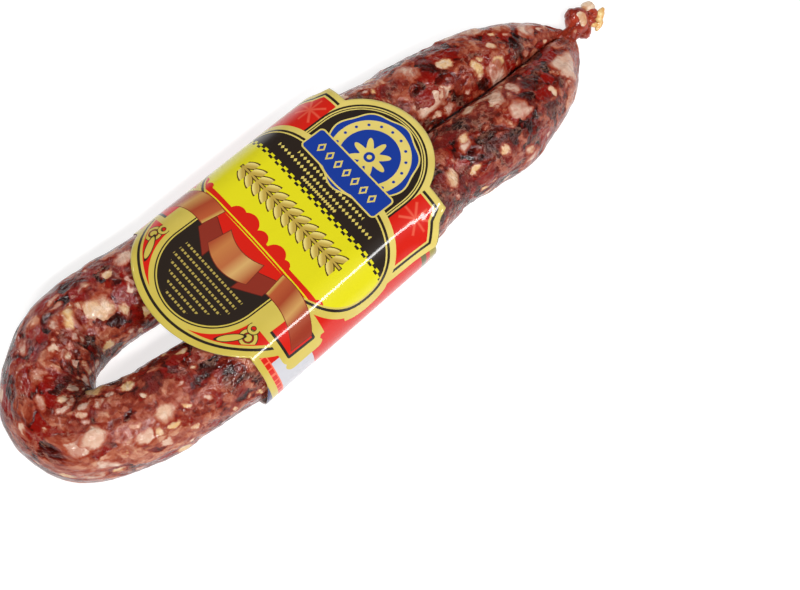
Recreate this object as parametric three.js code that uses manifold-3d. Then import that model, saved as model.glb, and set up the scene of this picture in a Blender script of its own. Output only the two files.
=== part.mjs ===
// A looped, dry-cured sausage held in a die-cut paper band. Millimetres, +Z up.
// The origin is on the surface that the sausage lies on, under the middle of its outline.
// +X runs along the loop from the bend to the tied knot, and the two arms lie side by side across Y.
import * as THREE from "three";
import { mergeVertices } from "three/addons/utils/BufferGeometryUtils.js";
import Module from "manifold-3d";

const wasm = await Module();
wasm.setup();

// ---- Driving dimensions ----

const ARM_SIDES = 20; // facets round an arm
const RING_SPACING = 6.4; // along the stuffed casing
const FLAT_PRESS = 0.6; // how far a resting arm is pressed flat on its underside
const CREASE_START = 10; // the arms press on each other from here to the neck
const CREASE_GAP = 0.4; // clearance between the two pressed skins

const BAND_RADIUS = 16.1; // outside radius of the band's two rounded sides, and its half height
const PAPER = 0.3; // thickness of the paper band
const BAND_LIFT = 0.7; // the arms' underside in the band, above the surface
const BAND_BEND_END = { x: -55, halfFlat: 21.7, middle: -0.9 };
const BAND_KNOT_END = { x: 17, halfFlat: 21, middle: 1.3 };
const BAND_TURN = 0.016; // the band sits turned by this slope across the loop
const BAND_AXIS_Y = 0.9; // where the band's own middle line crosses x = 0
const STRAP_TOP = 15;
const STRAP_BOTTOM = -59.7;
const FRONT_HALF = 41; // half width of the die-cut front, along the paper
const CREST = { x: 14.2, radius: 24.8, half: 22.2 }; // round crest towards the knot
const SHOULDER = { x: 25.2, half: 31.5 }; // straight shoulders beside the crest
// The stepped corner of a shoulder: distance off the band's middle line, and place along the loop.
const SHOULDER_CORNER = [
  [SHOULDER.half, SHOULDER.x],
  [33, 21.8],
  [34.4, 20.1],
  [38.3, 17.5],
  [39.8, 16.3],
  [FRONT_HALF, STRAP_TOP],
];
const APRON = { x: -34.4, radius: 40.1, half: 31.1 }; // round apron towards the bend

const NECK_END = 115.9;
const KNOT = { x: 120.6, y: 1.4, z: 9 };

// The stuffed casing from the neck along the far arm, round the bend and back along the near arm.
// Each station is the centre x and y and the radius. LOW stations lie on the surface, BAND stations
// are lifted by the paper under them, and the last few climb to the height of the neck.
const LOW = "low";
const BAND = "band";
const STATIONS = [
  [113.5, 0.8, 2.6, 9],
  [107, 3.4, 5.7, 9.2],
  [101, 5, 8.3, 10],
  [88, 8.6, 12, LOW],
  [67, 12.3, 14.3, LOW],
  [50, 14.2, 15.3, LOW],
  [36, 15.7, 15, LOW],
  [22, 18, 15, BAND],
  [4, 20.3, 15.3, BAND],
  [-13, 21.2, 15.3, BAND],
  [-48, 20.7, 15.3, BAND],
  [-64, 21.4, 15.2, BAND],
  [-80, 23.6, 15.4, LOW],
  [-100, 22.7, 15.6, LOW],
  [-116.6, 9.8, 15.4, LOW],
  [-116.4, -6.4, 15, LOW],
  [-100, -15.7, 15.1, LOW],
  [-82, -18.8, 15.4, LOW],
  [-64, -21.3, 15.1, BAND],
  [-44, -21.9, 15.3, BAND],
  [-22, -20.8, 15.3, BAND],
  [4, -19.5, 15.2, BAND],
  [20, -17.1, 14.7, BAND],
  [36, -14, 14.6, LOW],
  [50, -15.3, 14.9, LOW],
  [66, -16.3, 14.7, LOW],
  [88, -12.3, 12.2, LOW],
  [101, -7.2, 9, 10],
  [107, -4.5, 6.5, 9.2],
  [113.5, -2.4, 2.6, 9],
];

// The line, seen from above, where the two arms' skins meet.
const CREASE = [
  [10, 0.3],
  [36, 0],
  [50, -1.4],
  [66, -2.3],
  [88, -1.7],
  [101, -0.3],
  [114, -0.8],
];

// The twisted neck that gathers both arms: x, y, height and radius.
const NECK = [
  [108.6, -0.4, 9.2, 2.4],
  [111, -0.6, 9.1, 3.5],
  [113.6, -0.8, 9, 3.2],
  [NECK_END, -0.4, 9, 2.6],
];

// The lumps of the tied knot: centre from the knot's own middle, and half sizes.
const KNOT_LUMPS = [
  { at: [0, 0, 0], half: [4.3, 5.2, 4.8] },
  { at: [-0.9, 4.0, 0.2], half: [2.8, 2.4, 3.2] },
  { at: [-1.4, -4.4, -0.2], half: [2.6, 2.2, 3.0] },
  { at: [5.0, -1.3, 0], half: [3.2, 3.0, 2.7] },
];
const TAIL_LUMPS = [
  { at: [7.3, 2.1, 1.2], half: [2.4, 2.8, 2.2] },
  { at: [8.9, -3.0, 0.2], half: [2.9, 1.7, 1.8] },
  { at: [6.6, -4.5, -1.3], half: [2.7, 1.5, 1.8] },
];
const LUMP_SIDES = 12;
const LUMP_ROWS = 8;
const NECK_RINGS = 6;
const WELD_DISTANCE = 1e-5;

// ---- Small helpers ----

const mix = (a, b, t) => a + (b - a) * t;

// Straight interpolation in a list of [x, value] that runs upwards in x.
function along(list, x) {
  const last = list.length - 1;
  if (x <= list[0][0]) return list[0][1];
  if (x >= list[last][0]) return list[last][1];
  const after = list.findIndex((entry) => entry[0] > x);
  const [x0, value0] = list[after - 1];
  const [x1, value1] = list[after];
  return mix(value0, value1, (x - x0) / (x1 - x0));
}

// A closed mesh from rings of equal length, with a fan over each end.
function tubeFromRings(rings) {
  const sides = rings[0].length;
  const points = rings.flat();
  const faces = [];
  for (let i = 0; i < rings.length - 1; i++) {
    for (let j = 0; j < sides; j++) {
      const next = (j + 1) % sides;
      const a = i * sides + j;
      const b = i * sides + next;
      const c = (i + 1) * sides + next;
      const d = (i + 1) * sides + j;
      faces.push([a, b, c], [a, c, d]);
    }
  }
  for (const [ring, start, turned] of [
    [rings[0], 0, true],
    [rings.at(-1), (rings.length - 1) * sides, false],
  ]) {
    const centre = new THREE.Vector3();
    ring.forEach((point) => centre.add(point));
    points.push(centre.divideScalar(sides));
    for (let j = 0; j < sides; j++) {
      const a = start + j;
      const b = start + ((j + 1) % sides);
      faces.push(turned ? [b, a, points.length - 1] : [a, b, points.length - 1]);
    }
  }
  return geometryOf(points, faces);
}

function geometryOf(points, faces) {
  const geometry = new THREE.BufferGeometry();
  const coordinates = points.flatMap((point) => point.toArray());
  geometry.setAttribute("position", new THREE.Float32BufferAttribute(coordinates, 3));
  geometry.setIndex(faces.flat());
  return geometry;
}

// A manifold solid from a closed geometry whose faces point outwards.
function solidOf(geometry) {
  const bare = geometry.clone();
  bare.deleteAttribute("normal");
  bare.deleteAttribute("uv");
  const merged = mergeVertices(bare, WELD_DISTANCE);
  return new wasm.Manifold(
    new wasm.Mesh({
      numProp: 3,
      vertProperties: new Float32Array(merged.attributes.position.array),
      triVerts: new Uint32Array(merged.index.array),
    }),
  );
}

function geometryFromSolid(solid) {
  const mesh = solid.getMesh();
  const geometry = new THREE.BufferGeometry();
  geometry.setAttribute("position", new THREE.Float32BufferAttribute(mesh.vertProperties, 3));
  geometry.setIndex(Array.from(mesh.triVerts));
  return geometry;
}

function piece(name, geometry, color, roughness) {
  geometry.computeVertexNormals();
  const mesh = new THREE.Mesh(geometry, new THREE.MeshStandardMaterial({ color, roughness, metalness: 0 }));
  mesh.name = name;
  return mesh;
}

// ---- Sausage: one stuffed casing, bent double and gathered into one neck ----

function centreHeight(radius, rest) {
  if (rest === LOW) return radius - FLAT_PRESS;
  if (rest === BAND) return radius + BAND_LIFT;
  return rest;
}

// Keeps a point of the skin above the surface and on its own arm's side of the crease:
// side is 1 on the far arm, -1 on the near arm and 0 on the neck, which belongs to both.
function pressed(point, side) {
  point.z = Math.max(point.z, 0);
  if (side !== 0 && point.x > CREASE_START) {
    const limit = along(CREASE, point.x) + (side * CREASE_GAP) / 2;
    point.y = side > 0 ? Math.max(point.y, limit) : Math.min(point.y, limit);
  }
  return point;
}

function casingRings(path, radiusAt, count, sideOf) {
  const rings = [];
  for (let i = 0; i <= count; i++) {
    const t = i / count;
    const centre = path.getPointAt(t);
    const forward = path.getTangentAt(t);
    const across = new THREE.Vector3(0, 0, 1).cross(forward).normalize();
    const up = forward.clone().cross(across);
    const radius = radiusAt(path.getUtoTmapping(t));
    const ring = [];
    for (let j = 0; j < ARM_SIDES; j++) {
      const angle = (2 * Math.PI * j) / ARM_SIDES;
      const point = centre
        .clone()
        .addScaledVector(across, radius * Math.cos(angle))
        .addScaledVector(up, radius * Math.sin(angle));
      ring.push(pressed(point, sideOf(t)));
    }
    rings.push(ring);
  }
  return rings;
}

// A station's value between its neighbours, as smooth as the path itself.
function smoothValues(values) {
  const curve = new THREE.SplineCurve(values.map((value, index) => new THREE.Vector2(index, value)));
  return (t) => curve.getPoint(t).y;
}

function makeSausage() {
  const centres = STATIONS.map(
    ([x, y, radius, rest]) => new THREE.Vector3(x, y, centreHeight(radius, rest)),
  );
  const path = new THREE.CatmullRomCurve3(centres, false, "catmullrom", 0.5);
  const armRadius = smoothValues(STATIONS.map((station) => station[2]));
  const count = Math.round(path.getLength() / RING_SPACING);
  const arms = casingRings(path, armRadius, count, (t) => (t < 0.5 ? 1 : -1));

  const neckPath = new THREE.CatmullRomCurve3(NECK.map(([x, y, z]) => new THREE.Vector3(x, y, z)));
  const neckRadius = smoothValues(NECK.map((station) => station[3]));
  const neck = casingRings(neckPath, neckRadius, NECK_RINGS, () => 0);
  return geometryFromSolid(solidOf(tubeFromRings(arms)).add(solidOf(tubeFromRings(neck))));
}

// ---- Knot: the casing's own end, tied on itself, with two short tails ----

function makeKnot() {
  const lumps = [...KNOT_LUMPS, ...TAIL_LUMPS].map(({ at, half }) => {
    const lump = new THREE.SphereGeometry(1, LUMP_SIDES, LUMP_ROWS);
    lump.scale(...half);
    lump.translate(KNOT.x + at[0], KNOT.y + at[1], KNOT.z + at[2]);
    return solidOf(lump);
  });
  return geometryFromSolid(lumps.reduce((whole, lump) => whole.add(lump)));
}

// ---- Paper band: a printed sheet wrapped round both arms, its front die cut ----

const bandShare = (x) => (x - BAND_BEND_END.x) / (BAND_KNOT_END.x - BAND_BEND_END.x);
const halfFlat = (x) => mix(BAND_BEND_END.halfFlat, BAND_KNOT_END.halfFlat, bandShare(x));
const bandMiddle = (x) => mix(BAND_BEND_END.middle, BAND_KNOT_END.middle, bandShare(x));

// A point of the paper, from its distance round the band and its place along the loop.
function bandPoint(round, x, inset) {
  const side = round < 0 ? -1 : 1;
  const flat = halfFlat(x);
  const radius = BAND_RADIUS - inset;
  const beyond = Math.abs(round) - flat;
  const angle = THREE.MathUtils.clamp(beyond / BAND_RADIUS, 0, Math.PI);
  const under = Math.max(beyond - Math.PI * BAND_RADIUS, 0);
  const reach = Math.min(Math.abs(round), flat) - under + radius * Math.sin(angle);
  return new THREE.Vector3(x, bandMiddle(x) - side * reach, BAND_RADIUS + radius * Math.cos(angle));
}

// The die-cut edge towards the knot, from the distance off the band's middle line.
function upperEdge(off) {
  if (off < CREST.half) return CREST.x + Math.sqrt(CREST.radius ** 2 - off ** 2);
  return along(SHOULDER_CORNER, off);
}

function lowerEdge(off) {
  return off < APRON.half ? APRON.x - Math.sqrt(APRON.radius ** 2 - off ** 2) : STRAP_BOTTOM;
}

// Distances off the middle line of the columns on the front, closest together at the corners.
const FRONT_COLUMNS = [
  0, 5, 10, 14, 17.5, 20.2, 22.2, 27, 31.1, 31.5, 33, 34.4, 36.4, 38.3, 39.8, FRONT_HALF,
];
const BACK_COLUMNS = 17; // on each side, from the front to the middle of the back
const BAND_ROWS = 7;

// One column of the sheet, from the apron's edge to the crest's edge. share is 0 on the front,
// and on the back it runs from 0 at the front's side to 1 at the middle of the back.
function bandColumn(off, share, inset) {
  const low = lowerEdge(Math.abs(off));
  const high = upperEdge(Math.abs(off));
  const column = [];
  for (let row = 0; row <= BAND_ROWS; row++) {
    const x = mix(low, high, row / BAND_ROWS) - BAND_TURN * off * (1 - share);
    const front = off + bandMiddle(x) - (BAND_AXIS_Y - BAND_TURN * x);
    const back = Math.sign(off) * (2 * halfFlat(x) + Math.PI * BAND_RADIUS);
    column.push(bandPoint(share > 0 ? mix(front, back, share) : front, x, inset));
  }
  return column;
}

function makeBand() {
  const places = [];
  for (let i = BACK_COLUMNS; i > 0; i--) places.push([-FRONT_HALF, i / BACK_COLUMNS]);
  for (const off of FRONT_COLUMNS.slice(1).reverse()) places.push([-off, 0]);
  for (const off of FRONT_COLUMNS) places.push([off, 0]);
  for (let i = 1; i < BACK_COLUMNS; i++) places.push([FRONT_HALF, i / BACK_COLUMNS]);

  const columns = places.map(([off, share]) => [
    ...bandColumn(off, share, 0),
    ...bandColumn(off, share, PAPER).reverse(),
  ]);
  const sides = columns[0].length;
  const faces = [];
  columns.forEach((_, i) => {
    const here = i * sides;
    const next = ((i + 1) % columns.length) * sides;
    for (let j = 0; j < sides; j++) {
      const above = (j + 1) % sides;
      faces.push([here + j, next + j, next + above], [here + j, next + above, here + above]);
    }
  });
  return geometryFromSolid(solidOf(geometryOf(columns.flat(), faces)));
}

// ---- Assembly ----

const group = new THREE.Group();
group.add(piece("sausage", makeSausage(), 0x8c2a1c, 0.35));
group.add(piece("casing_knot", makeKnot(), 0x9a4a33, 0.35));
group.add(piece("paper_label", makeBand(), 0xd4be5a, 0.3));

// The stations are measured along the loop, so the whole is moved to put its origin in the middle.
const outline = new THREE.Box3().setFromObject(group);
const middle = outline.getCenter(new THREE.Vector3());
group.position.set(-middle.x, -middle.y, 0);

export default group;
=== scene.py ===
# Looks for a looped, dry-cured sausage in a printed paper band.
# Sizes are in millimetres where a name or a comment says so, and every mesh is made in metres.
import math

import bmesh
import bpy
import numpy as np
from mathutils import Matrix, Vector, noise


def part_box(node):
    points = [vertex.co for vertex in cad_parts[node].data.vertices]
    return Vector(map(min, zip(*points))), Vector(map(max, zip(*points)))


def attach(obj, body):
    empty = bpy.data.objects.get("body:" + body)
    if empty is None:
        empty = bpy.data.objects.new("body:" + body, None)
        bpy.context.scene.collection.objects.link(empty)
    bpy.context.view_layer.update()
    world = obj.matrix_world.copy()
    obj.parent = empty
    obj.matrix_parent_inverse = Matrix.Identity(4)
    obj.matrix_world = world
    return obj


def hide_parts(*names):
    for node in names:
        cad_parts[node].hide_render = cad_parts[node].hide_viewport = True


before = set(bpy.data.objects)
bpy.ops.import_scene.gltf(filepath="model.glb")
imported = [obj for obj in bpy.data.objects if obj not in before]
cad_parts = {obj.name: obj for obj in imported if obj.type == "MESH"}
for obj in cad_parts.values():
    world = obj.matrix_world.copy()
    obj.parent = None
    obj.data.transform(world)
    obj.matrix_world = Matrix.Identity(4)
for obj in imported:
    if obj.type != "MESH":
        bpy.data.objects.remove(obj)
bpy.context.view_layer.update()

MM = 0.001
scene = bpy.context.scene

# ---- Where the loop lies in the frame ----

# The stations are in the loop's own axes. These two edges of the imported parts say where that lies.
APRON_TIP_X = -74.5
KNOT_SIDE_Y = -5.2
SHIFT = np.array([
    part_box("paper_label")[0].x / MM - APRON_TIP_X,
    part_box("casing_knot")[0].y / MM - KNOT_SIDE_Y,
    0.0,
])

# ---- Camera, floor and light ----

VIEW_TURN = math.radians(41.8)  # how far the camera stands round towards the bend
VIEW_HEIGHT = math.radians(66.0)
VIEW_DISTANCE = 560.0
VIEW_TARGET = np.array([0.0, -34.5, 0.0]) + SHIFT
VIEW_LENS = 72.0
SENSOR_WIDTH = 36.0

TOWARDS_CAMERA = np.array([
    -math.sin(VIEW_TURN) * math.cos(VIEW_HEIGHT),
    -math.cos(VIEW_TURN) * math.cos(VIEW_HEIGHT),
    math.sin(VIEW_HEIGHT),
])
VIEW_RIGHT = np.array([math.cos(VIEW_TURN), -math.sin(VIEW_TURN), 0.0])
VIEW_UP = np.cross(TOWARDS_CAMERA, VIEW_RIGHT)

# How bright the sky is at the horizon and overhead, and how high the change ends.
SKY_LOW = 0.75
SKY_HIGH = 0.06
SKY_EASE = 0.3
# The floor reflects a little and glows, so that it stays plain white round the object.
FLOOR_WHITE = 0.42
FLOOR_GLOW = 0.74
FLOOR_HALF = 6.0
FLOOR_DROP = 0.0002  # in metres, as the lights are
LIGHT_AIM = (0.0, 0.0, 0.01)
STRIP_LEAN = math.radians(33.0)
STRIP_DISTANCE = 1.15
STRIP_AT = (0.0, -STRIP_DISTANCE * math.sin(STRIP_LEAN), STRIP_DISTANCE * math.cos(STRIP_LEAN))
PURE_WHITE = (1.0, 1.0, 1.0)
WARM_WHITE = (1.0, 0.98, 0.96)
# Name, place and size in metres, watts and colour of each light.
LIGHTS = [
    ("window_strip", STRIP_AT, (1.5, 0.09), 11.0, PURE_WHITE),
    ("front_lamp", (-0.9, -1.2, 1.9), (0.16, 0.16), 18.0, WARM_WHITE),
    ("back_lamp", (-0.5, 1.5, 1.6), (0.22, 0.22), 13.0, WARM_WHITE),
]


def make_camera():
    data = bpy.data.cameras.new("camera")
    data.lens = VIEW_LENS
    data.sensor_width = SENSOR_WIDTH
    data.clip_start = 0.01
    data.clip_end = 20.0
    camera = bpy.data.objects.new("camera", data)
    scene.collection.objects.link(camera)
    camera.location = (VIEW_TARGET + TOWARDS_CAMERA * VIEW_DISTANCE) * MM
    camera.rotation_mode = "QUATERNION"
    camera.rotation_quaternion = Vector(-TOWARDS_CAMERA).to_track_quat("-Z", "Y")
    scene.camera = camera


def area_light(name, place, size, watts, color):
    """A rectangular light at place, in metres, facing the object, with its long side along x."""
    data = bpy.data.lights.new(name, "AREA")
    data.shape = "RECTANGLE"
    data.size, data.size_y = size
    data.energy = watts
    data.color = color
    light = bpy.data.objects.new(name, data)
    scene.collection.objects.link(light)
    back = (Vector(place) - Vector(LIGHT_AIM)).normalized()
    side = Vector((1.0, 0.0, 0.0))
    side = (side - back * side.dot(back)).normalized()
    up = back.cross(side)
    turn = Matrix((side, up, back)).transposed().to_4x4()
    light.matrix_world = Matrix.Translation(Vector(place)) @ turn


def make_sky(world):
    """White near the horizon and dim overhead, so that flat glossy tops stay dark."""
    world.use_nodes = True
    graph = Graph(world.node_tree)
    where = graph.add("ShaderNodeTexCoord", output="Generated")
    height = graph.add("ShaderNodeSeparateXYZ", {}, [where]).other("Z")
    background = world.node_tree.nodes["Background"]
    set_inputs(background, {"Color": (1.0, 1.0, 1.0, 1.0)})
    feed(background, "Strength", SKY_LOW - height.step(0.0, SKY_EASE) * (SKY_LOW - SKY_HIGH))


def make_floor():
    mesh = bpy.data.meshes.new("floor")
    half = FLOOR_HALF
    corners = [(-half, -half, 0), (half, -half, 0), (half, half, 0), (-half, half, 0)]
    mesh.from_pydata(corners, [], [(0, 1, 2, 3)])
    floor = bpy.data.objects.new("floor", mesh)
    scene.collection.objects.link(floor)
    floor.location.z = -FLOOR_DROP
    material, _, shader = new_material("pale_floor")
    set_inputs(shader, {
        "Base Color": (FLOOR_WHITE, FLOOR_WHITE, FLOOR_WHITE, 1.0),
        "Emission Color": (1.0, 1.0, 1.0, 1.0),
        "Emission Strength": FLOOR_GLOW,
        "Roughness": 0.9,
        "Specular IOR Level": 0.1,
    })
    mesh.materials.append(material)


def make_studio():
    world = bpy.data.worlds.new("studio")
    scene.world = world
    make_sky(world)
    for light in LIGHTS:
        area_light(*light)
    make_floor()
    scene.view_settings.view_transform = "Standard"
    scene.view_settings.look = "None"


# ---- Node trees written as expressions ----


class Graph:
    """A node tree under construction. add() makes one node and returns a Wire on its output."""

    def __init__(self, tree):
        self.tree = tree

    def add(self, kind, settings=None, values=(), output=0):
        made = self.tree.nodes.new(kind)
        for name, value in (settings or {}).items():
            if name == "stops":
                self._set_stops(made.color_ramp, value)
            else:
                setattr(made, name, value)
        pairs = values.items() if isinstance(values, dict) else enumerate(values)
        for key, value in pairs:
            if isinstance(value, Wire):
                self.tree.links.new(value.socket, made.inputs[key])
            elif value is not None:
                made.inputs[key].default_value = value
        return Wire(self, made.outputs[output])

    @staticmethod
    def _set_stops(ramp, stops):
        while len(ramp.elements) < len(stops):
            ramp.elements.new(0.5)
        for element, (position, color) in zip(ramp.elements, stops):
            element.position = position
            element.color = color


class Wire:
    """A socket of a tree. Arithmetic on it adds Math nodes."""

    def __init__(self, graph, socket):
        self.graph = graph
        self.socket = socket

    def other(self, output):
        return Wire(self.graph, self.socket.node.outputs[output])

    def math(self, operation, *values):
        return self.graph.add("ShaderNodeMath", {"operation": operation}, values)

    def __add__(self, value):
        return self.math("ADD", self, value)

    def __sub__(self, value):
        return self.math("SUBTRACT", self, value)

    def __rsub__(self, value):
        return self.math("SUBTRACT", value, self)

    def __mul__(self, value):
        return self.math("MULTIPLY", self, value)

    def __rtruediv__(self, value):
        return self.math("DIVIDE", value, self)

    def __pow__(self, value):
        return self.math("POWER", self, value)

    def __abs__(self):
        return self.math("ABSOLUTE", self)

    __radd__ = __add__
    __rmul__ = __mul__

    def least(self, value):
        return self.math("MINIMUM", self, value)

    def most(self, value):
        return self.math("MAXIMUM", self, value)

    def above(self, value):
        return self.math("GREATER_THAN", self, value)

    def root(self):
        return self.math("SQRT", self)

    def cosine(self):
        return self.math("COSINE", self)

    def fraction(self):
        return self.math("FRACT", self)

    def cover(self, soft=0.05):
        """1 where the value is above zero and 0 below, with an edge of about soft."""
        settings = {"operation": "MULTIPLY_ADD", "use_clamp": True}
        return self.graph.add("ShaderNodeMath", settings, [self, 0.5 / soft, 0.5])

    def step(self, start, end):
        """0 before start and 1 after end, with a soft step between."""
        settings = {"interpolation_type": "SMOOTHSTEP"}
        return self.graph.add("ShaderNodeMapRange", settings, [self, start, end, 0.0, 1.0])


def length_of(x, y):
    return (x * x + y * y).root()


def mix(factor, first, second):
    """A colour between two, either of them a Wire or a tuple."""
    settings = {"data_type": "RGBA", "clamp_factor": True}
    return factor.graph.add("ShaderNodeMix", settings, {0: factor, 6: first, 7: second}, 2)


def vector_math(operation, first, *others):
    return first.graph.add("ShaderNodeVectorMath", {"operation": operation}, [first, *others])


def scaled(vector, factor):
    settings = {"operation": "SCALE"}
    return vector.graph.add("ShaderNodeVectorMath", settings, {0: vector, "Scale": factor})


def stretched(vector, factors):
    return vector_math("MULTIPLY", vector, factors)


def grain(vector, size, detail=2.0, roughness=0.5):
    """Noise from 0 to 1 with lumps of about size, in the vector's own units."""
    values = {"Vector": vector, "Scale": 1.0 / size, "Detail": detail, "Roughness": roughness}
    return vector.graph.add("ShaderNodeTexNoise", {}, values)


def warped(vector, size, amount, detail=2.0):
    """The vector, pushed about by up to amount with bends of about size."""
    push = vector_math("SUBTRACT", grain(vector, size, detail).other("Color"), (0.5, 0.5, 0.5))
    return vector_math("ADD", vector, scaled(push, 2.0 * amount))


def paint(red, green, blue):
    """A paint colour given as it shows on a screen, 0 to 255."""

    def linear(value):
        value /= 255.0
        return value / 12.92 if value <= 0.04045 else ((value + 0.055) / 1.055) ** 2.4

    return (linear(red), linear(green), linear(blue), 1.0)


def ramp(value, stops):
    """A colour that follows the value through stops, each a position and a paint's red, green and blue."""
    painted = [(position, paint(*tone)) for position, *tone in stops]
    return value.graph.add("ShaderNodeValToRGB", {"stops": painted}, [value])


def new_material(name):
    """A material whose tree holds one Principled shader joined to the output."""
    material = bpy.data.materials.new(name)
    material.use_nodes = True
    shader = material.node_tree.nodes["Principled BSDF"]
    return material, Graph(material.node_tree), shader


def set_inputs(node, values):
    for name, value in values.items():
        node.inputs[name].default_value = value


def feed(node, name, wire):
    wire.graph.tree.links.new(wire.socket, node.inputs[name])


def feed_bump(shader, height, strength, distance):
    values = {"Strength": strength, "Distance": distance, "Height": height}
    feed(shader, "Normal", height.graph.add("ShaderNodeBump", {}, values))


def own(graph, name, output="Fac"):
    """A number stored on the mesh, or a vector where the output is Vector, read by a material."""
    return graph.add("ShaderNodeAttribute", {"attribute_name": name}, output=output)


make_camera()
make_studio()

# ---- What lies under the casing ----

# Everything under the casing lies longer along the arm than round it.
LONG_GRAIN = (0.8, 1.0, 1.0)
LARGE_CHUNK = 11.0
MEDIUM_CHUNK = 4.8
SMALL_CHUNK = 2.1
# The size of the cells that bits of fat lie in, and the share of the cells that hold one.
LARGE_FAT = (13.0, 0.46)
MEDIUM_FAT = (6.6, 0.40)
SMALL_FAT = (3.9, 0.34)
# A bit reaches this share of its cell's size from its middle, and up to FAT_SPREAD more.
FAT_REACH = 0.27
FAT_SPREAD = 0.22
NOWHERE = 100.0


def chunks(where, size, blend=0.3):
    """A random division of space into chunks, each with its own random colour, softly joined."""
    settings = {"feature": "SMOOTH_F1"}
    values = {"Vector": where, "Scale": 1.0 / size, "Smoothness": blend}
    return where.graph.add("ShaderNodeTexVoronoi", settings, values, "Color")


def parts_of(color):
    """The three values of a colour or a vector."""
    split = color.graph.add("ShaderNodeSeparateXYZ", {}, [color])
    return split, split.other("Y"), split.other("Z")


def torn_space(arm):
    """The arm's own space, torn and folded the way minced stuffing is."""
    return warped(warped(arm, 8.0, 3.6), 2.2, 0.9)


def large_chunks(torn):
    return chunks(stretched(torn, LONG_GRAIN), LARGE_CHUNK)


def medium_chunks(torn):
    return chunks(stretched(torn, (0.85, 1.0, 1.0)), MEDIUM_CHUNK)


def fat_space(arm):
    """The arm's own space, bent less than the lean, because bits of fat hold together."""
    return warped(warped(arm, 7.0, 3.0, 1.0), 2.4, 0.8)


def fat_bits(where, size, share):
    """Rounded bits in a share of the cells of a random division.

    The first result is the depth inside a bit, in millimetres, and the second its tone."""
    values = {"Vector": where, "Scale": 1.0 / size}
    cell = where.graph.add("ShaderNodeTexVoronoi", {}, values, "Distance")
    chance, tone, reach = parts_of(cell.other("Color"))
    depth = (reach * FAT_SPREAD + FAT_REACH - cell) * size
    return depth - chance.above(share) * NOWHERE, tone


# ---- Shapes of the sausage ----

# How deep an arm presses flat on the floor, and how high the band under it lifts it.
FLAT_PRESS = 0.6
BAND_LIFT = 0.7
# The arms meet along a crease, which starts at this x and is whole after CREASE_EASE.
CREASE_START = 10.0
CREASE_EASE = 12.0
CREASE_GAP = -0.24  # the two skins press on each other, so no light comes through
# How gently the skin flattens against the crease and the floor, and where its relief starts to fade.
CREASE_ROUND = 1.6
FLOOR_ROUND = 0.5
CREASE_CALM = 1.5
FLOOR_CALM = 2.0
# The paper band keeps the skin smooth between these two x.
BAND_HOLD = (-63.0, 20.0)
HOLD_EASE = 6.0
HOLD_SHARE = 0.85
# The casing is gathered, and its colour more orange, from this x on.
TIP_START = 97.0
TIP_LONG = 15.0
LOW = "low"
BAND = "band"
# Centre x and y, radius, and what the arm rests on or the height of its centre.
STATIONS = [
    (112.5, 0.6, 1.9, 9.0),
    (107, 3.2, 5.0, 9.2),
    (101, 5, 8.0, 10.0),
    (88, 8.6, 12, LOW),
    (67, 12.3, 14.3, LOW),
    (50, 14.2, 15.3, LOW),
    (36, 15.7, 15, LOW),
    (22, 18, 15, BAND),
    (4, 20.3, 15.3, BAND),
    (-13, 21.2, 15.3, BAND),
    (-48, 20.7, 15.3, BAND),
    (-64, 21.4, 15.2, BAND),
    (-80, 23.6, 15.4, LOW),
    (-100, 22.7, 15.6, LOW),
    (-116.6, 9.8, 15.4, LOW),
    (-116.4, -6.4, 15, LOW),
    (-100, -15.7, 15.1, LOW),
    (-82, -18.8, 15.4, LOW),
    (-64, -21.3, 15.1, BAND),
    (-44, -21.9, 15.3, BAND),
    (-22, -20.8, 15.3, BAND),
    (4, -19.5, 15.2, BAND),
    (20, -17.1, 14.7, BAND),
    (36, -14, 14.6, LOW),
    (50, -15.3, 14.9, LOW),
    (66, -16.3, 14.7, LOW),
    (88, -12.3, 12.2, LOW),
    (101, -7.2, 9, 10.0),
    (107, -4.5, 6.5, 9.2),
    (112.8, -2.2, 2.2, 9.0),
]
# x and y along the crease between the arms.
CREASE = [(10, 0.3), (36, 0), (50, -1.4), (66, -2.3), (88, -1.7), (101, -0.3), (114, -0.8)]
# Centre and radius along the neck, which joins the two arms to the knot.
NECK = [
    (105.5, -0.5, 8.8, 1.2),
    (108.5, -0.6, 8.8, 2.8),
    (111, -0.7, 8.9, 3.5),
    (113.4, -0.8, 9.0, 3.1),
    (115.4, -0.5, 9.0, 2.7),
    (118, 0.4, 9.0, 2.6),
]
RING_STEP = 0.9
RING_SIDES = 112
NECK_STEP = 0.25
NECK_SIDES = 64
# Folds round the gathered casing: how many, how deep, where they start and how they lean along it.
PLEATS = [(7, 0.075, 1.3, 0.05), (11, 0.05, 4.0, 0.11)]
TWIST = [(5, 0.1, 0.0, 0.45), (9, 0.05, 2.0, 0.3)]
# The arm starts to pleat at this radius and is fully pleated when it is PLEAT_EASE thinner.
PLEAT_RADIUS = 11.5
PLEAT_EASE = 8.0
# The neck reads its own part of the pattern, and takes little of the relief.
NECK_OFFSET = np.array([-14.0, 0.0, 0.0])
NECK_FREE = 0.3


def smooth_path(points, per_span=60):
    """Points of the Catmull-Rom curve through the given ones, each with any number of values."""
    points = np.asarray(points, float)
    ends = [2 * points[0] - points[1], *points, 2 * points[-1] - points[-2]]
    share = np.linspace(0, 1, per_span, endpoint=False)[:, None]
    spans = []
    for p0, p1, p2, p3 in zip(ends, ends[1:], ends[2:], ends[3:]):
        spans.append(0.5 * (
            2 * p1
            + (p2 - p0) * share
            + (2 * p0 - 5 * p1 + 4 * p2 - p3) * share**2
            + (3 * p1 - p0 - 3 * p2 + p3) * share**3
        ))
    return np.vstack([*spans, points[-1:]])


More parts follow.
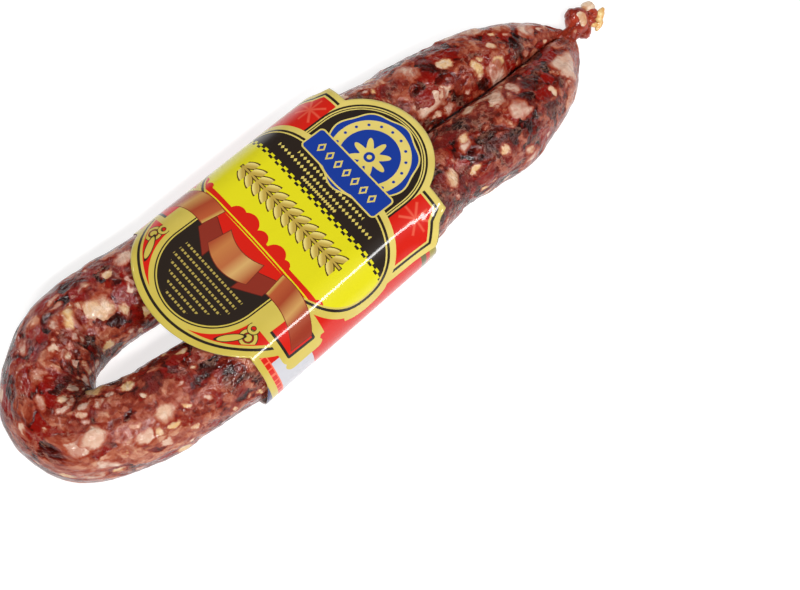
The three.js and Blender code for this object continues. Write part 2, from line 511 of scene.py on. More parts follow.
def even_steps(path, step):
    """The path with its points a step apart, and the distance along it of each."""
    gone = np.concatenate([[0], np.cumsum(np.linalg.norm(np.diff(path[:, :3], axis=0), axis=1))])
    count = max(int(round(gone[-1] / step)), 2)
    along = np.linspace(0, gone[-1], count + 1)
    return np.column_stack([np.interp(along, gone, column) for column in path.T]), along


def centre_height(radius, rest):
    if rest == LOW:
        return radius - FLAT_PRESS
    if rest == BAND:
        return radius + BAND_LIFT
    return rest


def soft_floor(distance, reach):
    """Distances below reach are eased so that none falls under zero."""
    return np.where(distance > reach, distance, reach * np.exp((distance - reach) / reach))


def new_mesh(name, points, faces, vectors=None, values=None):
    """A mesh from points in millimetres, with per-point vectors and values stored on it."""
    mesh = bpy.data.meshes.new(name)
    mesh.from_pydata(((points + SHIFT) * MM).tolist(), [], faces)
    for kind, member, fields in (("FLOAT_VECTOR", "vector", vectors), ("FLOAT", "value", values)):
        for key, field in (fields or {}).items():
            stored = mesh.attributes.new(key, kind, "POINT")
            stored.data.foreach_set(member, np.ravel(field).astype("f4"))
    mesh.polygons.foreach_set("use_smooth", [True] * len(mesh.polygons))
    mesh.update()
    return mesh


def new_piece(name, mesh, material):
    piece = bpy.data.objects.new(name, mesh)
    scene.collection.objects.link(piece)
    mesh.materials.append(material)
    return piece


def tube_faces(rings, sides):
    """Quads between rings, and a fan over each end round two added points."""
    faces = []
    for i in range(rings - 1):
        for j in range(sides):
            k = (j + 1) % sides
            faces.append((i * sides + j, i * sides + k, (i + 1) * sides + k, (i + 1) * sides + j))
    first, last = rings * sides, rings * sides + 1
    top = (rings - 1) * sides
    for j in range(sides):
        k = (j + 1) % sides
        faces.append((k, j, first))
        faces.append((top + j, top + k, last))
    return faces


def sweep(path, along, sides, shape):
    """Rings of points square to a path of x, y, z and radius. shape changes the radius by angle.

    It comes with each point's place in the arm's own space, and how far the bend squeezes it."""
    centre, radius = path[:, :3], path[:, 3]
    forward = np.gradient(centre, axis=0)
    forward /= np.linalg.norm(forward, axis=1)[:, None]
    across = np.cross([0.0, 0.0, 1.0], forward)
    across /= np.linalg.norm(across, axis=1)[:, None]
    up = np.cross(forward, across)
    angle = np.linspace(0, 2 * math.pi, sides, endpoint=False)
    reach = shape(radius[:, None], angle[None, :], along[:, None])
    cos, sin = np.cos(angle), np.sin(angle)
    ring = across[:, None] * cos[None, :, None] + up[:, None] * sin[None, :, None]
    points = centre[:, None] + ring * reach[..., None]
    turn = np.cross(forward, np.gradient(forward, along, axis=0))[:, 2]
    squeeze = np.clip(turn[:, None] * reach * cos[None, :], 0, 1)
    lengthways = np.broadcast_to(along[:, None], reach.shape)
    arm = np.stack([lengthways, reach * cos, reach * sin], axis=-1)
    return points, arm, squeeze


def fold_heights(folds, angle, along):
    return sum(depth * np.sin(count * angle + start + lean * along) for count, depth, start, lean in folds)


def pleated(radius, angle, along):
    """The casing gathers into pleats as the arm narrows towards the neck."""
    tight = np.clip((PLEAT_RADIUS - radius) / PLEAT_EASE, 0, 1)
    return radius * (1 + tight * fold_heights(PLEATS, angle, along))


def twisted(radius, angle, along):
    return radius * (1 + fold_heights(TWIST, angle, along))


def close_ends(points, *fields):
    """Adds the middle of the first and the last ring to the points, and their mean to each field."""
    ends = [points[0].mean(axis=0), points[-1].mean(axis=0)]
    flat = np.vstack([points.reshape(-1, 3), *ends])
    extra = []
    for field in fields:
        shape = (-1, 3) if field.ndim == 3 else (-1, 1)
        means = [field[0].mean(axis=0).reshape(shape), field[-1].mean(axis=0).reshape(shape)]
        extra.append(np.vstack([field.reshape(shape), *means]))
    return flat, *extra


def arms_shell():
    stations = [(x, y, centre_height(r, rest), r) for x, y, r, rest in STATIONS]
    path, along = even_steps(smooth_path(stations), RING_STEP)
    points, arm, squeeze = sweep(path, along, RING_SIDES, pleated)
    # 1 on the arm that the path starts with and -1 on the other.
    side = np.where(along < along[-1] / 2, 1.0, -1.0)[:, None]
    crease = np.interp(points[..., 0], *zip(*CREASE)) + side * CREASE_GAP / 2
    off = (points[..., 1] - crease) * side
    x = points[..., 0]
    near_crease = np.clip((x - CREASE_START) / CREASE_EASE, 0, 1)
    eased = soft_floor(off, CREASE_ROUND)
    points[..., 1] = crease + side * (off + (eased - off) * near_crease)
    points[..., 2] = soft_floor(points[..., 2], FLOOR_ROUND)
    # How free each point is to take the relief of the stuffing.
    free = np.clip(1 - near_crease * np.exp(-np.maximum(eased, 0) / CREASE_CALM), 0, 1)
    free *= np.clip(points[..., 2] / FLOOR_CALM, 0, 1)
    hold_start, hold_end = BAND_HOLD
    in_band = np.clip((x - hold_start) / HOLD_EASE, 0, 1) * np.clip((hold_end - x) / HOLD_EASE, 0, 1)
    free *= 1 - HOLD_SHARE * in_band
    tip = np.clip((x - TIP_START) / TIP_LONG, 0, 1) ** 1.5
    return close_ends(points, arm, squeeze, free, tip), tube_faces(len(along), RING_SIDES)


def neck_shell():
    path, along = even_steps(smooth_path(NECK), NECK_STEP)
    points, arm, squeeze = sweep(path, along, NECK_SIDES, twisted)
    free = np.full(squeeze.shape, NECK_FREE)
    tip = np.ones(squeeze.shape)
    return close_ends(points, arm + NECK_OFFSET, squeeze, free, tip), tube_faces(len(along), NECK_SIDES)


# ---- Relief of the stuffed casing, made with Geometry Nodes ----

# How far each part of the stuffing moves the skin, in millimetres.
RELIEF = {
    "Swell": 0.8, "Large lump": 0.9, "Medium lump": 0.4,
    "Fat lump": 0.35, "Knobble": 0.2, "Wrinkle": 0.9,
}


def stored_value(graph, name, kind):
    """A value stored on the mesh, read by a Geometry Nodes tree."""
    settings = {"data_type": kind}
    return graph.add("GeometryNodeInputNamedAttribute", settings, {"Name": name}, "Attribute")


def relief_tree(material):
    """Moves the skin in and out by its stuffing, with the wrinkles of the bend's inner side.

    The second result is the identifier of each named input."""
    tree = bpy.data.node_groups.new("stuffed_relief", "GeometryNodeTree")
    tree.is_modifier = True
    sockets = {}
    tree.interface.new_socket("Geometry", in_out="INPUT", socket_type="NodeSocketGeometry")
    for name, value in RELIEF.items():
        socket = tree.interface.new_socket(name, in_out="INPUT", socket_type="NodeSocketFloat")
        socket.default_value = value
        sockets[name] = socket.identifier
    tree.interface.new_socket("Geometry", in_out="OUTPUT", socket_type="NodeSocketGeometry")
    graph = Graph(tree)
    given = graph.add("NodeGroupInput", output="Geometry")
    arm = stored_value(graph, "arm", "FLOAT_VECTOR")
    squeeze = stored_value(graph, "squeeze", "FLOAT")
    free = stored_value(graph, "free", "FLOAT")
    torn = torn_space(arm)
    large, _, _ = parts_of(large_chunks(torn))
    medium, _, _ = parts_of(medium_chunks(torn))
    swell = (grain(arm, 13.0) - 0.5) * given.other("Swell") * 2.0
    knobble = (grain(warped(arm, 4.0, 1.0), 3.4, 2.0, 0.6) - 0.5) * given.other("Knobble") * 2.0
    folds = grain(stretched(warped(arm, 8.0, 2.0), (1.0, 0.22, 0.22)), 3.0) - 0.5
    wrinkle = folds * squeeze * given.other("Wrinkle") * 2.0
    lumps = (large - 0.5) * given.other("Large lump") + (medium - 0.5) * given.other("Medium lump")
    fat, _ = fat_bits(stretched(fat_space(arm), LONG_GRAIN), *LARGE_FAT)
    lumps = lumps + fat.step(-1.0, 1.5) * given.other("Fat lump")
    height = (swell + knobble + lumps + wrinkle) * free * MM
    normal = graph.add("GeometryNodeInputNormal")
    offset = scaled(normal, height)
    moved = graph.add("GeometryNodeSetPosition", {}, {"Geometry": given, "Offset": offset})
    real = graph.add("GeometryNodeRealizeInstances", {}, {"Geometry": moved})
    done = graph.add("GeometryNodeSetMaterial", {}, {"Geometry": real, "Material": material})
    tree.links.new(done.socket, tree.nodes.new("NodeGroupOutput").inputs["Geometry"])
    return tree, sockets


def apply_modifiers(piece):
    graph = bpy.context.evaluated_depsgraph_get()
    graph.update()
    shown = piece.evaluated_get(graph)
    result = bpy.data.meshes.new_from_object(shown, preserve_all_data_layers=True, depsgraph=graph)
    piece.modifiers.clear()
    piece.data = result


# ---- Meat, fat and casing ----

# From dark lean to a fine mince of lean and fat, by how rich the stuffing is.
STUFFING = [
    (0.26, 30, 2, 1),
    (0.36, 54, 6, 2),
    (0.45, 80, 13, 6),
    (0.52, 100, 23, 12),
    (0.59, 122, 38, 22),
    (0.67, 146, 62, 41),
    (0.76, 172, 96, 70),
    (0.88, 198, 142, 112),
]
BRIGHT_LEAN = paint(140, 16, 7)
TISSUE = paint(198, 140, 116)
# The middle of a bit of fat, from cream to rose.
FAT_TONES = [
    (0.15, 222, 180, 120),
    (0.45, 218, 176, 148),
    (0.70, 206, 162, 144),
    (0.95, 184, 116, 92),
]
WHITE_FAT = paint(228, 206, 184)
FAT_EDGE = paint(164, 76, 50)
FAT_HALO = paint(128, 20, 9)
# Painted shade for the inner side of each bend.
INNER_BEND_SHADE = paint(48, 9, 6)
GATHERED = paint(168, 56, 34)


def with_fat(color, arm, fibre):
    """Bits of fat, small to large: peach at the edge, where they lie deeper, and cream or white inside."""
    space = fat_space(arm)
    for size, share in (SMALL_FAT, MEDIUM_FAT, LARGE_FAT):
        bent = warped(space, 0.35 * size, 0.16 * size)
        depth, tone = fat_bits(stretched(bent, LONG_GRAIN), size, share)
        depth = depth + (fibre - 0.5) * 1.8
        color = mix(depth.step(-1.3, 0.0) * 0.55, color, FAT_HALO)
        core = mix(fibre.step(0.4, 0.75) * 0.8, ramp(tone, FAT_TONES), WHITE_FAT)
        bit = mix(depth.step(0.1, 0.12 * size + 0.4), FAT_EDGE, core)
        color = mix(depth.step(-0.35, 0.5) * 0.92, color, bit)
    return color


def meat_material():
    material, graph, shader = new_material("cured_meat_casing")
    arm = own(graph, "arm", "Vector")
    squeeze = own(graph, "squeeze")
    tip = own(graph, "tip")
    torn = torn_space(arm)
    large, _, large_dry = parts_of(large_chunks(torn))
    medium, _, medium_red = parts_of(medium_chunks(torn))
    small, _, _ = parts_of(chunks(stretched(warped(arm, 1.8, 1.0), LONG_GRAIN), SMALL_CHUNK, 0.4))
    fibre = grain(stretched(torn, (1.0, 0.5, 1.0)), 2.0, 4.0, 0.6)
    richness = large * 0.36 + medium * 0.42 + small * 0.2 + fibre * 0.5 - 0.225
    color = ramp(richness, STUFFING)
    # Some lean is bright red, and some has dried dark and dull.
    lean = 1.0 - richness.step(0.5, 0.64)
    bright = lean * (medium_red * 0.7 + fibre * 0.4).step(0.52, 0.72)
    color = mix(bright * 0.8, color, BRIGHT_LEAN)
    dry = (large_dry * 0.65 + grain(torn, 4.0) * 0.5).step(0.56, 0.72)
    rough = grain(stretched(warped(arm, 1.6, 0.6), (1.0, 1.6, 1.6)), 1.0, 3.0, 0.7)
    dull = mix(rough.step(0.45, 0.8), paint(28, 10, 7), paint(92, 56, 46))
    color = mix(dry * lean * 0.42, color, dull)
    # Pale threads of tissue.
    thread = 1.0 - abs(grain(warped(arm, 3.0, 1.5), 3.2, 3.0, 0.6) - 0.5) * 14.0
    thread = thread.most(0.0) * grain(arm, 9.0).step(0.45, 0.6)
    color = mix(thread * 0.35, color, TISSUE)
    color = with_fat(color, arm, fibre)
    # Painted shade: the stuffing is darkened on the inner side of each bend. The gathered end is more
    # orange.
    color = mix(squeeze.step(0.12, 0.7) * 0.6, color, INNER_BEND_SHADE)
    color = mix(tip * 0.45, color, GATHERED)
    feed(shader, "Base Color", color)

    # The casing: thin, glossy and finely wrinkled, most of all where it has dried.
    crinkle = grain(stretched(warped(arm, 2.0, 0.6), (1.0, 0.55, 0.55)), 0.8, 3.0, 0.6)
    ripple = grain(warped(arm, 3.0, 1.0), 2.4)
    depth = crinkle * (dry * 0.28 + 0.12) + ripple * 0.75 + richness * 0.6
    feed_bump(shader, depth, 1.0, 0.001)
    feed(shader, "Roughness", grain(arm, 3.0, 3.0).step(0.3, 0.8) * 0.13 + 0.07)
    set_inputs(shader, {"Specular IOR Level": 0.34})
    return material


def make_sausage():
    """Both arms and the neck, in one mesh."""
    fields = []
    faces = []
    count = 0
    for shell_fields, shell_faces in (arms_shell(), neck_shell()):
        fields.append(shell_fields)
        faces += [tuple(corner + count for corner in face) for face in shell_faces]
        count += len(shell_fields[0])
    points, arm, squeeze, free, tip = (np.vstack(parts) for parts in zip(*fields))
    values = {"squeeze": squeeze, "free": free, "tip": tip}
    mesh = new_mesh("stuffed_casing", points, faces, {"arm": arm}, values)
    material = meat_material()
    sausage = new_piece("stuffed_casing", mesh, material)
    tree, sockets = relief_tree(material)
    modifier = sausage.modifiers.new("relief", "NODES")
    modifier.node_group = tree
    for name, value in RELIEF.items():
        modifier[sockets[name]] = value
    apply_modifiers(sausage)
    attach(sausage, "root")
    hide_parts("sausage")


make_sausage()

# ---- The printed paper band ----

# Sizes of the sheet, in millimetres. s runs round the band from the middle of its front, and t along it.
BAND_RADIUS = 16.1
BEND_END = {"x": -55.0, "half": 21.7, "middle": -0.9}
KNOT_END = {"x": 17.0, "half": 21.0, "middle": 1.3}
BAND_TURN = 0.016
BAND_AXIS_Y = 0.9
STRAP_TOP = 15.0
STRAP_BOTTOM = -59.7
FRONT_HALF = 41.0
CREST_T = 14.2
CREST_RADIUS = 24.8
CREST_HALF = 22.2
SHOULDER_T = 25.2
SHOULDER_HALF = 31.5
CORNER = [(31.5, 25.2), (33.0, 21.8), (34.4, 20.1), (38.3, 17.5), (39.8, 16.3), (41.0, 15.0)]
APRON_T = -34.4
APRON_RADIUS = 40.1
APRON_HALF = 31.1
PAPER = 0.22
COLUMN_STEP = 0.8
BAND_ROWS = 96
BACK_COLUMNS = 44
# The glued seam at the back: its share of half the way round, and how deep and where one end tucks under.
OVERLAP = 0.09
TUCK = 0.35
TUCK_START = 0.9
TUCK_EASE = 6.0
BACK_FLARE = 2.6  # how much longer the strap is at the back, beyond its lower edge
CREST_SAG = 0.9
SAG_START = 16.0
SAG_EASE = 23.0
# The near corner stands off from here round the band, and along it after CORNER_START.
CORNER_HOLD = 27.0
CORNER_FREE = 0.55
CORNER_START = 5.0
CORNER_EASE = 16.0
CORNER_CRINKLE = 0.11
# Waves of paper laid over two soft arms: height, lengths along and round the band, and start.
WAVES = [(0.1, 7.3, 9.1, 0.0), (0.08, 4.9, -12.0, 1.4)]
WAVE_REACH = 60.0
PRESS = 0.14


def smooth_step(share):
    share = np.clip(share, 0, 1)
    return share * share * (3 - 2 * share)


def band_between(x, key):
    """A size of the band at x, between its two ends."""
    share = (x - BEND_END["x"]) / (KNOT_END["x"] - BEND_END["x"])
    return BEND_END[key] + (KNOT_END[key] - BEND_END[key]) * share


def band_point(around, x, inset):
    """A point of the band: how far round from its front, how far along, and how deep under the surface."""
    flat = band_between(x, "half")
    side = np.sign(around)
    beyond = np.abs(around) - flat
    angle = np.clip(beyond / BAND_RADIUS, 0, math.pi)
    under = np.maximum(beyond - math.pi * BAND_RADIUS, 0)
    reach = np.minimum(np.abs(around), flat) - under + (BAND_RADIUS - inset) * np.sin(angle)
    y = band_between(x, "middle") - side * reach
    z = BAND_RADIUS + (BAND_RADIUS - inset) * np.cos(angle)
    return np.stack([x, y, z], axis=-1)


def upper_edge(off):
    """Where the sheet ends beyond the crest, at a distance from its middle line."""
    off = abs(off)
    if off <= CREST_HALF:
        return CREST_T + math.sqrt(CREST_RADIUS**2 - off**2)
    if off <= SHOULDER_HALF:
        return SHOULDER_T
    return float(np.interp(off, *zip(*CORNER)))


def lower_edge(off):
    if abs(off) < APRON_HALF:
        return APRON_T - math.sqrt(APRON_RADIUS**2 - off**2)
    return STRAP_BOTTOM


def sheet_columns():
    """Each column of the sheet: its offset from the middle line and its share of the way round the back."""
    marks = [0.0, CREST_HALF, APRON_HALF, *(s for s, _ in CORNER)]
    fine = np.arange(0, FRONT_HALF, COLUMN_STEP)
    clear = [s for s in fine if min(abs(s - m) for m in marks) > 0.3 * COLUMN_STEP]
    right = sorted({*marks, *clear})
    front = [-s for s in reversed(right[1:])] + right
    back = np.linspace(0, 1, BACK_COLUMNS + 1)[1:]
    columns = [(-FRONT_HALF, 1 + OVERLAP)]
    columns += [(-FRONT_HALF, share) for share in back[::-1]]
    columns += [(s, 0.0) for s in front]
    columns += [(FRONT_HALF, share) for share in back]
    return columns


def sheet_surface(inset):
    """Points of one face of the paper and where each lies on the sheet."""
    points = []
    sheet = []
    rows = np.linspace(0, 1, BAND_ROWS + 1)
    for off, share in sheet_columns():
        low, high = lower_edge(off), upper_edge(off)
        if share > 0:
            low, high = STRAP_BOTTOM - BACK_FLARE * float(smooth_step(share * 5)), STRAP_TOP
        t = low + (high - low) * rows
        x = t - BAND_TURN * off * (1 - min(share, 1))
        front = off + band_between(x, "middle") - (BAND_AXIS_Y - BAND_TURN * x)
        whole = 2 * band_between(x, "half") + math.pi * BAND_RADIUS
        around = front + (math.copysign(1, off) * whole - front) * share
        tucked = TUCK * np.clip((-around - whole * TUCK_START) / TUCK_EASE, 0, 1)
        face = band_point(around, x, inset + tucked)
        # The crest hangs a little, and the near corner stands off where nothing holds it.
        crest = np.clip((t - SAG_START) / SAG_EASE, 0, 1) ** 2
        face[:, 2] -= CREST_SAG * crest
        held = np.clip(around, None, CORNER_HOLD)
        straight = band_point(held, x, inset)
        ahead = band_point(held + 0.1, x, inset)
        straight += (ahead - straight) / 0.1 * (around - held)[:, None]
        loose = CORNER_FREE * smooth_step((t - CORNER_START) / CORNER_EASE)
        free = loose * (1 - min(share * 8, 1)) * (off > CORNER_HOLD)
        face += (straight - face) * free[:, None]
        # Paper laid over two soft arms isn't quite flat.
        wave = sum(size * np.sin(x / a + around / b + start) for size, a, b, start in WAVES)
        face[:, 2] += wave * np.clip(1 - np.abs(around) / WAVE_REACH, 0, 1) - PRESS
        crinkle = np.sin(x * 1.7 + around * 0.6) * np.sin(around * 1.5 - x * 0.5)
        face[:, 2] += CORNER_CRINKLE * crinkle * free
        points.append(face)
        place = around if share else np.full_like(t, off)
        sheet.append(np.stack([place, t], axis=-1))
    return np.array(points), np.array(sheet)


def make_label():
    """One closed shell of paper, with its thickness."""
    outer, outer_sheet = sheet_surface(0.0)
    inner, inner_sheet = sheet_surface(PAPER)
    columns, rows = outer.shape[:2]
    count = columns * rows
    faces = []
    for i in range(columns - 1):
        for j in range(rows - 1):
            a, d = i * rows + j, (i + 1) * rows + j
            b, c = a + 1, d + 1
            faces.append((d, c, b, a))
            faces.append((count + a, count + b, count + c, count + d))
        for j, turned in ((0, False), (rows - 1, True)):
            a, d = i * rows + j, (i + 1) * rows + j
            rim = (a, d, count + d, count + a)
            faces.append(rim if turned else rim[::-1])
    for i, turned in ((0, True), (columns - 1, False)):
        for j in range(rows - 1):
            a = i * rows + j
            b = a + 1
            rim = (a, b, count + b, count + a)
            faces.append(rim if turned else rim[::-1])
    flat = np.vstack([outer.reshape(-1, 3), inner.reshape(-1, 3)])
    # The third value of the sheet is 0 on the printed face and 1 on the plain one.
    layer = np.repeat([0.0, 1.0], count)[:, None]
    sheet = np.hstack([np.vstack([outer_sheet.reshape(-1, 2), inner_sheet.reshape(-1, 2)]), layer])
    mesh = new_mesh("paper_band", flat, faces, {"sheet": sheet})
    band = new_piece("paper_band", mesh, label_material())
    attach(band, "root")
    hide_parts("paper_label")


# ---- The print ----

# A shape of the print is a depth: how far a point of the sheet lies inside it, in millimetres.
RED = paint(208, 30, 16)
DARK = paint(40, 31, 25)
YELLOW = paint(220, 212, 26)
BLUE = paint(23, 56, 148)
WHITE = paint(196, 196, 202)
PLAIN_BACK = paint(206, 204, 200)
BEAD = paint(176, 156, 78)
RIBBON_EDGE = paint(128, 48, 32)
# Ribbon sheen from one edge to the other, on the side panels and on the middle one.
COPPER = [
    (0.0, 204, 178, 92),
    (0.09, 178, 88, 50),
    (0.34, 162, 68, 40),
    (0.60, 200, 152, 88),
    (0.74, 168, 78, 44),
    (1.0, 150, 54, 34),
]
MIDDLE_COPPER = [
    (0.0, 166, 74, 44),
    (0.2, 190, 120, 66),
    (0.5, 182, 102, 60),
    (0.72, 208, 166, 102),
    (1.0, 168, 80, 46),
]
# Where each bush of the hedge stands, and its radius.
BUSHES = [
    (-37, 2.4), (-33, 3.0), (-28, 2.0), (-12, 3.4), (-7, 4.6), (0, 3.2), (8, 4.0), (13, 2.2), (31, 1.8)
]


def box_depth(x, y, half_x, half_y):
    return (half_x - abs(x)).least(half_y - abs(y))


def rounded_depth(x, y, half_x, half_y, corner):
    over_x = abs(x) - (half_x - corner)
    over_y = abs(y) - (half_y - corner)
    outside = length_of(over_x.most(0.0), over_y.most(0.0))
    return corner - outside - over_x.most(over_y).least(0.0)


def line_depth(x, y, first, second):
    """How far a point is on the near side of the line from first to second, seen from the origin."""
    along_x, along_y = second[0] - first[0], second[1] - first[1]
    long = math.hypot(along_x, along_y)
    return ((x - first[0]) * along_y - (y - first[1]) * along_x) * (1.0 / long)


def ellipse_depth(x, y, half_x, half_y):
    size = length_of(x * (1.0 / half_x), y * (1.0 / half_y))
    return (1.0 - size) * min(half_x, half_y)


def framed(color, depth, bands, fill):
    """Paints a shape from its edge inwards: border bands, each a width and a paint, and then its fill."""
    start = 0.0
    for width, tone in bands:
        color = mix((depth - start).cover(), color, tone)
        start += width
    return mix((depth - start).cover(), color, fill)


def layered(color, layers):
    """Paints shapes one on another, each a depth and a paint."""
    for depth, tone in layers:
        color = mix(depth.cover(), color, tone)
    return color


def repeated(x, pitch):
    """Distance from the nearest of a row of points a pitch apart, with its sign."""
    share = x * (1.0 / pitch) + 0.5
    return share.fraction() * pitch - pitch / 2


def strap_print(s, t, gold):
    """Red strap with gold edges, a white panel near its lower end and a plain one on the back."""
    side = abs(s)
    pitch = 2.4
    cross = abs(repeated(s, pitch)).least(abs(repeated(t, pitch)))
    lattice = mix((cross - 0.25).cover(), paint(240, 110, 80), RED)
    color = mix((-55.0 - t).cover(), RED, lattice)
    panel = box_depth(side - 52.5, t + 48.0, 15.5, 7.0)
    color = mix(panel.cover(), color, WHITE)
    back = rounded_depth(side - 92.0, t + 22.0, 16.0, 24.0, 1.5)
    color = framed(color, back, [(0.8, gold)], WHITE)
    return layered(color, [
        (-57.3 - t, gold),
        (-60.0 - t, paint(70, 72, 108)),
        (t - 9.0, paint(96, 88, 34)),
        (t - 11.0, paint(196, 44, 26)),
        (t - 12.4, paint(150, 138, 56)),
    ])


def folk_star(x, y):
    """An eight-pointed star of crossed threads."""
    x, y = abs(x), abs(y)
    thread = abs(x - y).least(x.least(y) + 0.25)
    return (0.62 - thread).least(5.4 - x.most(y)).least(8.2 - x - y)


def crest_print(color, s, t, gold):
    """The two stepped shoulders with a folk star on each, and the dark round crest between them."""
    side = abs(s)
    foot = t + 16.0
    outer, middle, inner = CORNER[-1], CORNER[2], CORNER[0]
    notch = line_depth(side, t, inner, middle).most(line_depth(side, t, middle, outer))
    shoulder = (SHOULDER_T - t).least(FRONT_HALF - side).least(notch).least(foot)
    field = mix(folk_star(side - 28.0, t - 14.0).cover(0.3) * 0.4, RED, paint(244, 128, 96))
    color = framed(color, shoulder, [(2.3, gold), (1.0, DARK), (0.8, gold)], field)
    arch = (CREST_RADIUS - length_of(s, (t - CREST_T).most(0.0))).least(foot)
    rim = box_depth(side, t - 30.0, CREST_HALF, 40.0).least(arch).least(t - CREST_T)
    color = mix(rim.cover(), color, gold)
    return framed(color, arch - 2.4, [(0.75, DARK), (0.5, gold), (0.4, DARK), (0.4, gold)], DARK)


def apron_print(color, s, t, gold):
    """The red round apron, with curled leaves in its corners."""
    side = abs(s)
    apron = (APRON_RADIUS - length_of(s, t - APRON_T)).least(-34.0 - t)
    color = framed(color, apron, [(2.2, gold), (0.95, DARK), (0.9, gold)], RED)
    inside = apron - 4.4
    curl = length_of(side - 25.5, t + 56.0)
    small_curl = length_of(side - 24.2, t + 52.6)
    leaf_x, leaf_y = side - 21.6, t + 60.4
    cos, sin = 0.57, 0.82
    leaf = ellipse_depth(leaf_x * cos + leaf_y * sin, leaf_x * sin - leaf_y * cos, 4.4, 1.1)
    for depth in (0.55 - abs(curl - 2.5), 1.25 - curl, 0.5 - abs(small_curl - 1.5), leaf):
        color = mix((depth + 0.28).least(inside).cover(), color, DARK)
        color = mix(depth.least(inside).cover(), color, gold)
    return color


def panel_print(color, s, t, gold):
    """The dark rounded panel in the apron with its gold surround and rows of beads."""
    side = abs(s)
    half = 20.2
    above = -38.0 - t
    inside = APRON_RADIUS - length_of(s, t - APRON_T) - 4.4
    surround = (28.5 - side).least(t + 51.0).least(above)
    color = mix(surround.cover(), color, gold)
    foot = (t + 50.0).least(0.0) * (half / 19.5)
    panel = (half - length_of(s, foot)).least(above)
    rim = (1.9 + panel).least(inside + 0.6)
    color = mix(rim.cover(), color, gold)
    color = framed(color, panel, [(0.5, DARK), (0.5, gold)], DARK)
    # The rows are shorter towards the foot.
    row = abs(repeated(t + 50.0, 2.66))
    bead = abs(repeated(s, 1.5))
    length = 14.8 - ((t + 56.0).least(0.0) * -0.95)
    beads = (0.42 - row).least(0.45 - bead).least(length - side).least(-48.8 - t).least(t + 67.2)
    return mix(beads.cover(), color, BEAD)


def hedge(s, t):
    """A row of rounded bushes along the horizon."""
    depth = -30.4 - t
    for place, radius in BUSHES:
        depth = depth.most(radius - length_of(s - place, t + 31.0))
    return depth


def oval_depth(s, t):
    """A rounded oval, fuller than an ellipse."""
    power = 2.2
    middle = t + 15.9
    power_s = abs(s * (1.0 / 43.4)) ** power
    power_t = abs(middle * (1.0 / 25.5)) ** power
    size = (power_s + power_t) ** (1.0 / power)
    return (1.0 / size - 1.0) * length_of(s, middle)


def oval_print(color, s, t, gold):
    """The oval: yellow, with the hedge at its foot and chequers and beads at its head."""
    field = mix(hedge(s, t).cover(), YELLOW, RED)
    for level, bend in ((-32.2, 0.0006), (-33.3, 0.0016)):
        line = 0.26 - abs(t - level + s * s * bend)
        field = mix(line.cover(), field, YELLOW)
    # Two rows of chequers under a dark head.
    upper = (t + 7.85).cover(0.02)
    square = (repeated(s, 3.5) * (upper * 2.0 - 1.0)).cover(0.04)
    field = mix((t + 8.8).cover(), field, mix(square, YELLOW, DARK))
    field = mix((t + 6.9).cover(), field, DARK)
    for level, reach, pitch in ((0.2, 17.0, 1.7), (-2.7, 24.0, 1.7), (-5.2, 9.0, 1.2)):
        bead = (0.62 - abs(repeated(s, pitch)) - abs(t - level) * 0.75).least(reach - abs(s))
        field = mix(bead.cover(), field, gold)
    oval = framed(color, oval_depth(s, t), [(2.6, gold), (1.1, DARK), (0.7, gold)], field)
    color = mix((t + 39.0).cover(), color, oval)
    color = mix(box_depth(s, t + 37.0, 15.5, 3.6).cover(), color, RED)
    return wheat_print(color, s, t)


def wheat_print(color, s, t):
    """An ear of wheat, where a name could be printed."""
    off = abs(t + 17.6)
    kernel_s = repeated(s, 3.9)
    kernel_t = off - 2.2
    tilt = math.radians(36.0)
    turned_s = kernel_s * math.cos(tilt) + kernel_t * math.sin(tilt)
    turned_t = kernel_t * math.cos(tilt) - kernel_s * math.sin(tilt)
    kernel = ellipse_depth(turned_s, turned_t, 2.9, 1.25).least(24.5 - abs(s - kernel_s))
    stalk = (0.35 - off).least(26.0 - abs(s))
    ear = kernel.most(stalk)
    color = mix((ear + 0.42).cover(), color, paint(84, 62, 20))
    ripe = mix((turned_t * 0.5 + 0.3).step(0.0, 1.0), paint(186, 158, 70), paint(236, 218, 130))
    return mix(ear.cover(), color, ripe)


def ribbon_print(color, s, t):
    """A copper ribbon: fold panels behind, then side panels, then the middle one."""
    side = abs(s)
    edge = 0.3
    fold_top = -36.2 - (15.5 - side) * 0.42
    fold_bottom = -43.4 - (17.0 - side) * 0.62
    fold = (fold_top - t).least(t - fold_bottom).least(17.0 - side).least(side - 7.5)
    color = framed(color, fold, [(edge, paint(94, 30, 22))], paint(136, 46, 32))
    arc = (side - 20.0) * (side - 20.0) * 0.0175
    top = -32.6 - arc
    across = side - 15.2 - (top - t) * 0.18
    panel = (top - t).least(t - top + 9.2).least(across).least(38.0 - side)
    color = framed(color, panel, [(edge, RIBBON_EDGE)], ramp(across * (1.0 / 19.0), COPPER))
    bow = s * s * 0.031
    middle_top = -38.0 + bow
    drop = middle_top - t
    middle = drop.least(t - middle_top + 10.0).least(8.8 + drop * 0.16 - side)
    tone = ramp(s * (1.0 / 19.0) + 0.5, MIDDLE_COPPER)
    return framed(color, middle, [(edge, paint(120, 44, 30))], tone)


